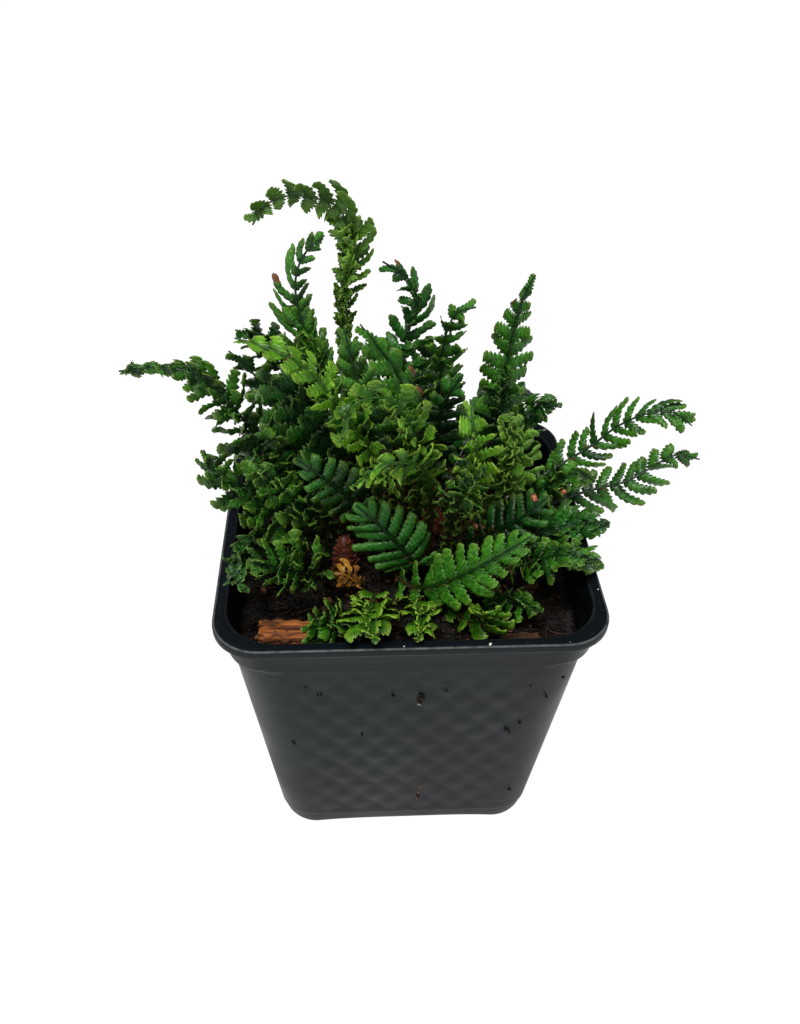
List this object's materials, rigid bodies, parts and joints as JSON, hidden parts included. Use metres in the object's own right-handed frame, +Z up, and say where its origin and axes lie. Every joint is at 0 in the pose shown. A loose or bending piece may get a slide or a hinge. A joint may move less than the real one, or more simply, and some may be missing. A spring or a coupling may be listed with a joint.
{
  "type": "potted fern",
  "caption": "Crisped, congested scaly male fern with arching toothed fronds, growing in soil in a square black nursery pot.",
  "frame": {"origin": "centre of the pot's flat underside", "axes": "+Z up, -Y towards the pot face that the picture shows as the front, +X to the viewer's right"},
  "size_m": [0.1661, 0.1261, 0.1999],
  "materials": {
    "pot_plastic": "moulded, slightly glossy black",
    "soil": "moist dark potting mix",
    "bark": "fibrous, rough",
    "crown_scales": "papery brown scales",
    "leaf_deep": "leathery leaf, semi-gloss",
    "leaf_mid": "leathery leaf, semi-gloss",
    "leaf_bright": "young leaf, semi-gloss",
    "leaf_pale": "leaf underside, matt",
    "leaf_withered": "dry leaf, matt"
  },
  "bodies": {
    "root": {"pot": "pot_plastic", "soil": "soil", "bark_chip_front_left": "bark", "bark_chip_front_right": "bark", "bark_chip_right": "bark", "bark_chip_back": "bark", "crown_front": "crown_scales", "crown_back": "crown_scales", "frond_front_flat": "leaf_mid", "frond_front_bright": "leaf_bright", "frond_dark_rolled": "leaf_deep", "frond_over_rim": "leaf_bright", "frond_front_left": "leaf_mid", "frond_left_low": "leaf_mid", "frond_left_fan": "leaf_mid", "frond_left_edge": "leaf_deep", "frond_left_long": "leaf_mid", "frond_left_back": "leaf_deep", "frond_bright_long": "leaf_bright", "frond_rosette": "leaf_bright", "frond_fingers": "leaf_bright", "frond_light_leaf": "leaf_bright", "frond_light_ball": "leaf_pale", "frond_upright": "leaf_mid", "frond_right_back": "leaf_deep", "frond_right_high": "leaf_mid", "frond_right_low": "leaf_mid", "frond_right_dark": "leaf_deep", "frond_right_front": "leaf_mid", "frond_centre_right": "leaf_deep", "frond_top_middle": "leaf_deep", "frond_top_right": "leaf_mid", "frond_tallest": "leaf_pale", "frond_tall_left": "leaf_mid", "frond_left_dark": "leaf_deep", "frond_middle": "leaf_mid", "frond_rear_left": "leaf_mid", "frond_rear_left_middle": "leaf_deep", "frond_rear_middle": "leaf_mid", "frond_rear_right": "leaf_deep", "frond_rear_low": "leaf_mid", "frond_far_left": "leaf_deep", "frond_rear_upright": "leaf_deep", "frond_inner_rim": "leaf_mid", "frond_centre_left": "leaf_deep", "frond_left_middle": "leaf_mid", "frond_left_tuft": "leaf_mid", "frond_right_drooping": "leaf_mid", "frond_front_centre": "leaf_bright", "frond_top_left": "leaf_mid", "frond_middle_back": "leaf_deep", "frond_centre_front": "leaf_mid", "frond_rosette_low": "leaf_bright", "frond_upright_low": "leaf_deep", "frond_withered": "leaf_withered"}
  },
  "joints": []
}
